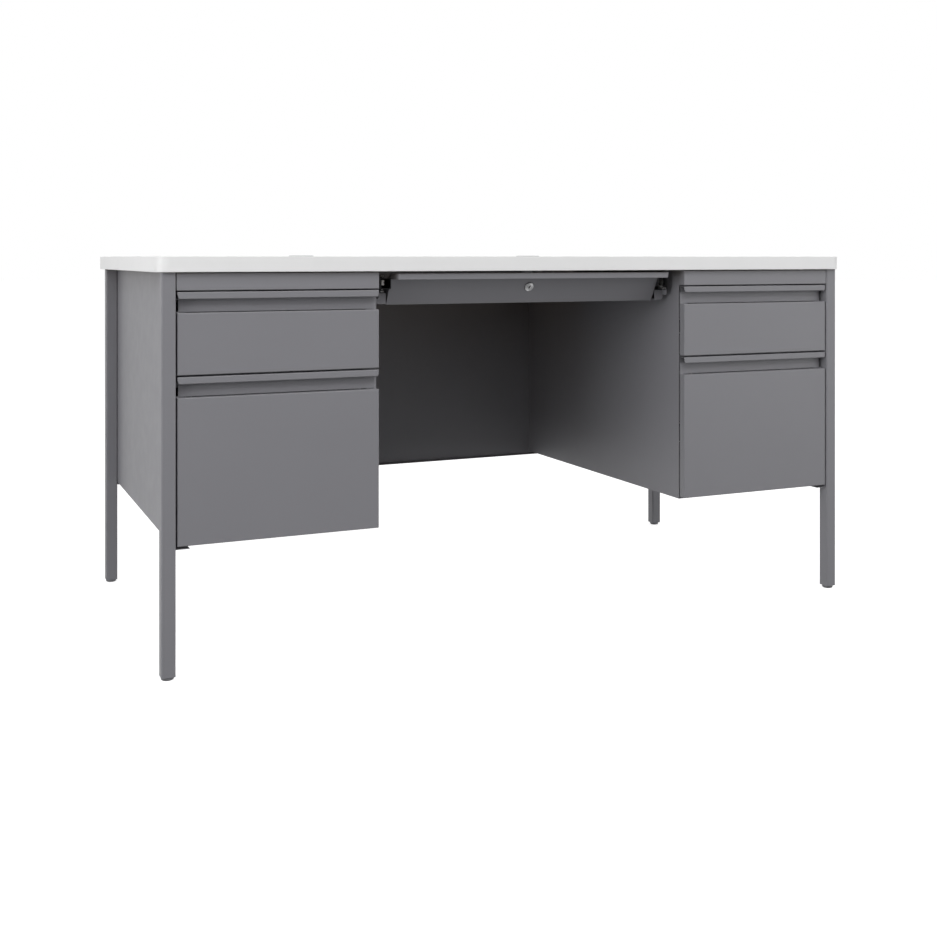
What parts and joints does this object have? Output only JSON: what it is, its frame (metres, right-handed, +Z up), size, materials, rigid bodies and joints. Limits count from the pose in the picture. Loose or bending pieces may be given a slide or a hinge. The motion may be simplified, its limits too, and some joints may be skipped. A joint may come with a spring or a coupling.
{
  "type": "double-pedestal teacher desk",
  "caption": "Steel double-pedestal teacher desk with a white laminate worktop, box and file drawers each side, a locking centre drawer, a back panel and square tube legs.",
  "frame": {"origin": "on the floor under the centre of the worktop", "axes": "+X to the sitter's right along the desk, +Y towards the back panel, +Z up"},
  "size_m": [1.524, 0.762, 0.7519],
  "materials": {
    "painted_steel": "fine satin powder coat, mid grey",
    "slide_steel": "black electro-coated rolled steel",
    "particleboard": "raw particleboard",
    "white_laminate": "satin high-pressure laminate",
    "white_edge_band": "smooth extruded edge band",
    "grey_plastic": "moulded, fine texture",
    "black_plastic": "moulded, fine texture",
    "zinc_steel": "zinc plated",
    "chrome_lock": "polished plate",
    "glide_plastic": "moulded nylon, grey"
  },
  "bodies": {
    "desk_frame": {"worktop_core": "particleboard", "worktop_laminate": "white_laminate", "worktop_edge_band": "white_edge_band", "worktop_screws": "zinc_steel", "grommet_sleeves": "grey_plastic", "leg_inserts": "black_plastic", "rear_panel": "painted_steel", "centre_slide_brackets": "painted_steel", "centre_slide_outer": "slide_steel", "lock_strike": "zinc_steel", "leg_front_left": "painted_steel", "leg_rear_left": "painted_steel", "side_panel_left": "painted_steel", "inner_panel_left": "painted_steel", "header_left": "painted_steel", "cross_rail_left": "painted_steel", "bottom_rails_left": "painted_steel", "box_slide_outer_left": "slide_steel", "file_slide_outer_left": "slide_steel", "leg_front_right": "painted_steel", "leg_rear_right": "painted_steel", "side_panel_right": "painted_steel", "inner_panel_right": "painted_steel", "header_right": "painted_steel", "cross_rail_right": "painted_steel", "bottom_rails_right": "painted_steel", "box_slide_outer_right": "slide_steel", "file_slide_outer_right": "slide_steel"},
    "centre_drawer": {"centre_drawer_front": "painted_steel", "centre_drawer_body": "painted_steel", "pencil_tray": "black_plastic", "lock_housing": "chrome_lock", "centre_slide_inner": "slide_steel"},
    "centre_slide": {"centre_slide_middle": "slide_steel"},
    "lock_cylinder": {"lock_plug": "chrome_lock", "lock_cam": "zinc_steel"},
    "box_drawer_left": {"box_drawer_front_left": "painted_steel", "box_drawer_body_left": "painted_steel", "box_slide_inner_left": "slide_steel"},
    "box_slide_left": {"box_slide_middle_left": "slide_steel"},
    "file_drawer_left": {"file_drawer_front_left": "painted_steel", "file_drawer_body_left": "painted_steel", "file_slide_inner_left": "slide_steel", "folder_bars_left": "zinc_steel"},
    "file_slide_left": {"file_slide_middle_left": "slide_steel"},
    "grommet_cap_left": {"grommet_cap_left": "grey_plastic"},
    "box_drawer_right": {"box_drawer_front_right": "painted_steel", "box_drawer_body_right": "painted_steel", "box_slide_inner_right": "slide_steel"},
    "box_slide_right": {"box_slide_middle_right": "slide_steel"},
    "file_drawer_right": {"file_drawer_front_right": "painted_steel", "file_drawer_body_right": "painted_steel", "file_slide_inner_right": "slide_steel", "folder_bars_right": "zinc_steel"},
    "file_slide_right": {"file_slide_middle_right": "slide_steel"},
    "grommet_cap_right": {"grommet_cap_right": "grey_plastic"},
    "glide_front_left": {"glide_front_left": "glide_plastic"},
    "glide_front_right": {"glide_front_right": "glide_plastic"},
    "glide_rear_left": {"glide_rear_left": "glide_plastic"},
    "glide_rear_right": {"glide_rear_right": "glide_plastic"}
  },
  "joints": [
    {"name": "centre_drawer_slide", "type": "slide", "parent": "desk_frame", "child": "centre_drawer", "axis": [0, -1, 0], "range_m": [0, 0.3]},
    {"name": "centre_slide_extend", "type": "slide", "parent": "desk_frame", "child": "centre_slide", "axis": [0, -1, 0], "range_m": [0, 0.15]},
    {"name": "lock_turn", "type": "hinge", "parent": "centre_drawer", "child": "lock_cylinder", "pos_m": [0, -0.32152, 0.6875], "axis": [0, -0.8721, -0.4893], "range_deg": [0, 90]},
    {"name": "box_drawer_left_slide", "type": "slide", "parent": "desk_frame", "child": "box_drawer_left", "axis": [0, -1, 0], "range_m": [0, 0.44]},
    {"name": "box_slide_left_extend", "type": "slide", "parent": "desk_frame", "child": "box_slide_left", "axis": [0, -1, 0], "range_m": [0, 0.22]},
    {"name": "file_drawer_left_slide", "type": "slide", "parent": "desk_frame", "child": "file_drawer_left", "axis": [0, -1, 0], "range_m": [0, 0.54]},
    {"name": "file_slide_left_extend", "type": "slide", "parent": "desk_frame", "child": "file_slide_left", "axis": [0, -1, 0], "range_m": [0, 0.27]},
    {"name": "grommet_cap_left_turn", "type": "hinge", "parent": "desk_frame", "child": "grommet_cap_left", "pos_m": [-0.3048, 0.286, 0.7493], "axis": [0, 0, 1], "continuous": true},
    {"name": "box_drawer_right_slide", "type": "slide", "parent": "desk_frame", "child": "box_drawer_right", "axis": [0, -1, 0], "range_m": [0, 0.44]},
    {"name": "box_slide_right_extend", "type": "slide", "parent": "desk_frame", "child": "box_slide_right", "axis": [0, -1, 0], "range_m": [0, 0.22]},
    {"name": "file_drawer_right_slide", "type": "slide", "parent": "desk_frame", "child": "file_drawer_right", "axis": [0, -1, 0], "range_m": [0, 0.54]},
    {"name": "file_slide_right_extend", "type": "slide", "parent": "desk_frame", "child": "file_slide_right", "axis": [0, -1, 0], "range_m": [0, 0.27]},
    {"name": "grommet_cap_right_turn", "type": "hinge", "parent": "desk_frame", "child": "grommet_cap_right", "pos_m": [0.3048, 0.286, 0.7493], "axis": [0, 0, 1], "continuous": true},
    {"name": "glide_front_left_adjust", "type": "slide", "parent": "desk_frame", "child": "glide_front_left", "axis": [0, 0, -1], "range_m": [0, 0.01]},
    {"name": "glide_front_right_adjust", "type": "slide", "parent": "desk_frame", "child": "glide_front_right", "axis": [0, 0, -1], "range_m": [0, 0.01]},
    {"name": "glide_rear_left_adjust", "type": "slide", "parent": "desk_frame", "child": "glide_rear_left", "axis": [0, 0, -1], "range_m": [0, 0.01]},
    {"name": "glide_rear_right_adjust", "type": "slide", "parent": "desk_frame", "child": "glide_rear_right", "axis": [0, 0, -1], "range_m": [0, 0.01]}
  ],
  "couplings": [
    {"joint": "centre_slide_extend", "follows": "centre_drawer_slide", "ratio": 0.5},
    {"joint": "box_slide_left_extend", "follows": "box_drawer_left_slide", "ratio": 0.5},
    {"joint": "file_slide_left_extend", "follows": "file_drawer_left_slide", "ratio": 0.5},
    {"joint": "box_slide_right_extend", "follows": "box_drawer_right_slide", "ratio": 0.5},
    {"joint": "file_slide_right_extend", "follows": "file_drawer_right_slide", "ratio": 0.5}
  ]
}
